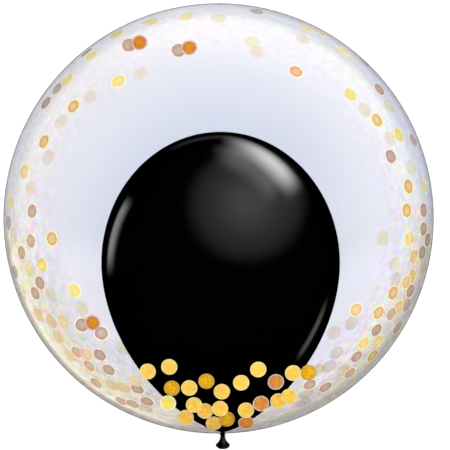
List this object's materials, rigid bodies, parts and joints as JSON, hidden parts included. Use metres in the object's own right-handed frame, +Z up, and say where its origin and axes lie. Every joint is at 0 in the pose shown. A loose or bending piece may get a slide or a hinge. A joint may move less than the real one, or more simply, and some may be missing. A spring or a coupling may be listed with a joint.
{
  "type": "double-layer confetti balloon",
  "caption": "Clear round bubble balloon with a black latex balloon inside it and gold, copper and yellow round foil confetti, lying on its back.",
  "frame": {"origin": "middle of the small flat spot under the bubble, on the surface that the balloon lies on", "axes": "+Y from the neck towards the balloon's top, +Z up towards the side with the gathered confetti, +X to the right seen from above with the top away"},
  "size_m": [0.56, 0.5805, 0.5563],
  "materials": {
    "clear_film": "gloss",
    "black_latex": "gloss",
    "gold": "satin",
    "dark_gold": "satin",
    "copper": "satin",
    "yellow": "satin",
    "tan": "satin"
  },
  "bodies": {
    "root": {"bubble": "clear_film", "latex_balloon": "black_latex", "gathered_confetti_01": "gold", "gathered_confetti_02": "gold", "gathered_confetti_03": "gold", "gathered_confetti_04": "gold", "gathered_confetti_05": "gold", "gathered_confetti_06": "gold", "gathered_confetti_07": "gold", "gathered_confetti_08": "gold", "gathered_confetti_09": "gold", "gathered_confetti_10": "gold", "gathered_confetti_11": "gold", "gathered_confetti_12": "gold", "gathered_confetti_13": "gold", "gathered_confetti_14": "gold", "gathered_confetti_15": "gold", "gathered_confetti_16": "dark_gold", "gathered_confetti_17": "dark_gold", "gathered_confetti_18": "dark_gold", "gathered_confetti_19": "dark_gold", "gathered_confetti_20": "copper", "gathered_confetti_21": "copper", "gathered_confetti_22": "copper", "gathered_confetti_23": "yellow", "clinging_confetti_01": "copper", "clinging_confetti_02": "copper", "clinging_confetti_03": "copper", "clinging_confetti_04": "tan", "clinging_confetti_05": "tan", "clinging_confetti_06": "tan", "clinging_confetti_07": "tan", "clinging_confetti_08": "tan", "clinging_confetti_09": "tan", "clinging_confetti_10": "tan", "clinging_confetti_11": "tan", "clinging_confetti_12": "tan", "clinging_confetti_13": "tan", "clinging_confetti_14": "tan", "clinging_confetti_15": "tan", "clinging_confetti_16": "tan", "clinging_confetti_17": "tan", "clinging_confetti_18": "gold", "clinging_confetti_19": "gold", "clinging_confetti_20": "gold", "clinging_confetti_21": "gold", "clinging_confetti_22": "gold", "clinging_confetti_23": "gold", "clinging_confetti_24": "gold", "clinging_confetti_25": "gold", "clinging_confetti_26": "gold", "clinging_confetti_27": "gold", "clinging_confetti_28": "gold", "clinging_confetti_29": "gold", "clinging_confetti_30": "yellow", "clinging_confetti_31": "yellow", "clinging_confetti_32": "yellow", "clinging_confetti_33": "yellow"}
  },
  "joints": []
}
